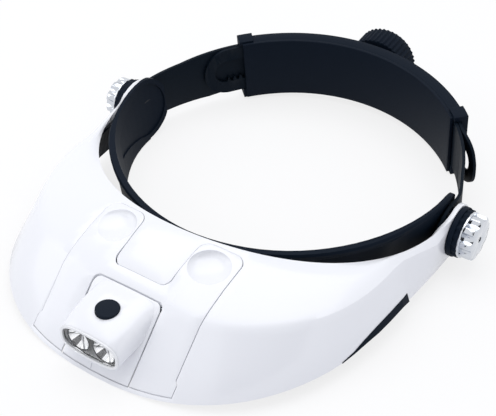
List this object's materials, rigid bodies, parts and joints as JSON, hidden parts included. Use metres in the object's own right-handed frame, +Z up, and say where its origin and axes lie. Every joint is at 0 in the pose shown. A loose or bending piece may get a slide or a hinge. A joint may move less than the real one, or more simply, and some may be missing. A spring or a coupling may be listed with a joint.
{
  "type": "lighted headband magnifier",
  "caption": "Headband magnifier with a white visor that tilts at the temples, a lamp and cells under a lift-off cover, a fold-down lens and a ratchet strap loop.",
  "frame": {"origin": "on the table plane, midway between the two temple pivots of the head opening", "axes": "+Z up, -Y towards the visor's front, +X towards the wearer's left temple, +Y towards the rear knob"},
  "size_m": [0.1968, 0.241, 0.0406],
  "materials": {
    "white_shell": "gloss",
    "black_shell": "satin",
    "black_strap": "satin",
    "friction_fibre": "matte",
    "chrome_plate": "polished",
    "plain_steel": "brushed",
    "pinion_nylon": "satin",
    "button_rubber": "matte",
    "clear_window": "clear",
    "clear_lens": "clear",
    "cell_jacket": "satin",
    "led_body": "gloss",
    "board": "satin",
    "switch_case": "brushed"
  },
  "bodies": {
    "band": {"front_band": "black_shell", "left_bolt": "plain_steel", "right_bolt": "plain_steel"},
    "loop": {"left_friction_washer": "friction_fibre", "right_friction_washer": "friction_fibre"},
    "sleeve": {"rear_liner": "black_shell", "rear_housing": "black_shell", "left_liner_screw": "plain_steel", "right_liner_screw": "plain_steel", "knob_washer": "friction_fibre"},
    "strap_left": {"left_strap": "black_strap"},
    "strap_right": {"right_strap": "black_strap"},
    "adjuster": {"rear_knob": "black_shell", "knob_cap": "black_shell", "pinion": "pinion_nylon", "pinion_screw": "plain_steel"},
    "visor": {"visor_shell": "white_shell", "left_cheek": "black_shell", "right_cheek": "black_shell", "left_arm_washer": "black_shell", "right_arm_washer": "black_shell", "left_ribbed_washer": "black_shell", "right_ribbed_washer": "black_shell", "battery_holder": "black_shell", "left_cell": "cell_jacket", "right_cell": "cell_jacket", "left_spring": "plain_steel", "right_spring": "plain_steel", "left_contact": "plain_steel", "right_contact": "plain_steel", "left_bracket": "black_shell", "right_bracket": "black_shell", "left_lens_pin": "plain_steel", "right_lens_pin": "plain_steel", "lamp_pin": "plain_steel"},
    "temple_left": {"left_flange": "chrome_plate", "left_knob": "chrome_plate"},
    "temple_right": {"right_flange": "chrome_plate", "right_knob": "chrome_plate"},
    "cover": {"battery_cover": "white_shell"},
    "lamp": {"lamp_housing": "white_shell", "lamp_bezel": "clear_window", "lamp_window": "clear_window", "left_reflector": "chrome_plate", "right_reflector": "chrome_plate", "left_led": "led_body", "right_led": "led_body", "led_board": "board", "circuit_board": "board", "switch": "switch_case"},
    "push_button": {"button": "button_rubber"},
    "lens_flap": {"lens_holder": "black_shell", "lens": "clear_lens"}
  },
  "joints": [
    {"name": "loop_tilt", "type": "hinge", "parent": "band", "child": "loop", "pos_m": [0, 0, 0.0172], "axis": [1, 0, 0], "range_deg": [-8, 8]},
    {"name": "sleeve_slide", "type": "slide", "parent": "loop", "child": "sleeve", "axis": [0, -0.9925, -0.1219], "range_m": [-0.0027, 0.0027]},
    {"name": "rear_knob_turn", "type": "hinge", "parent": "sleeve", "child": "adjuster", "pos_m": [0, 0.0871, 0.02336], "axis": [0, 0.9925, 0.1219], "range_deg": [-32, 32]},
    {"name": "left_strap_wrap", "type": "hinge", "parent": "sleeve", "child": "strap_left", "pos_m": [0, -0.00223, 0.01239], "axis": [0, -0.1219, 0.9925], "range_deg": [-2, 2]},
    {"name": "right_strap_wrap", "type": "hinge", "parent": "sleeve", "child": "strap_right", "pos_m": [0, -0.00223, 0.01239], "axis": [0, -0.1219, 0.9925], "range_deg": [-2, 2]},
    {"name": "visor_tilt", "type": "hinge", "parent": "band", "child": "visor", "pos_m": [0, 0, 0.0172], "axis": [-1, 0, 0], "range_deg": [-8, 50]},
    {"name": "left_knob_turn", "type": "hinge", "parent": "band", "child": "temple_left", "pos_m": [-0.095, 0, 0.0172], "axis": [-1, 0, 0], "range_deg": [0, 180]},
    {"name": "right_knob_turn", "type": "hinge", "parent": "band", "child": "temple_right", "pos_m": [0.095, 0, 0.0172], "axis": [1, 0, 0], "range_deg": [0, 180]},
    {"name": "cover_lift", "type": "slide", "parent": "visor", "child": "cover", "axis": [0, -0.6, 0.8], "range_m": [0, 0.03]},
    {"name": "lamp_tilt", "type": "hinge", "parent": "visor", "child": "lamp", "pos_m": [0, -0.113, 0.0224], "axis": [-1, 0, 0], "range_deg": [0, 6]},
    {"name": "button_press", "type": "slide", "parent": "lamp", "child": "push_button", "axis": [0, 0, -1], "range_m": [0, 0.001], "stiffness_N_per_m": 600, "springref_m": -0.0005},
    {"name": "lens_flip", "type": "hinge", "parent": "visor", "child": "lens_flap", "pos_m": [0, -0.1105, 0.0024], "axis": [-1, 0, 0], "range_deg": [0, 100]}
  ],
  "couplings": [
    {"joint": "rear_knob_turn", "follows": "sleeve_slide", "rad_per_m": 200},
    {"joint": "left_strap_wrap", "follows": "sleeve_slide", "rad_per_m": -12.041},
    {"joint": "right_strap_wrap", "follows": "sleeve_slide", "rad_per_m": 12.041}
  ]
}
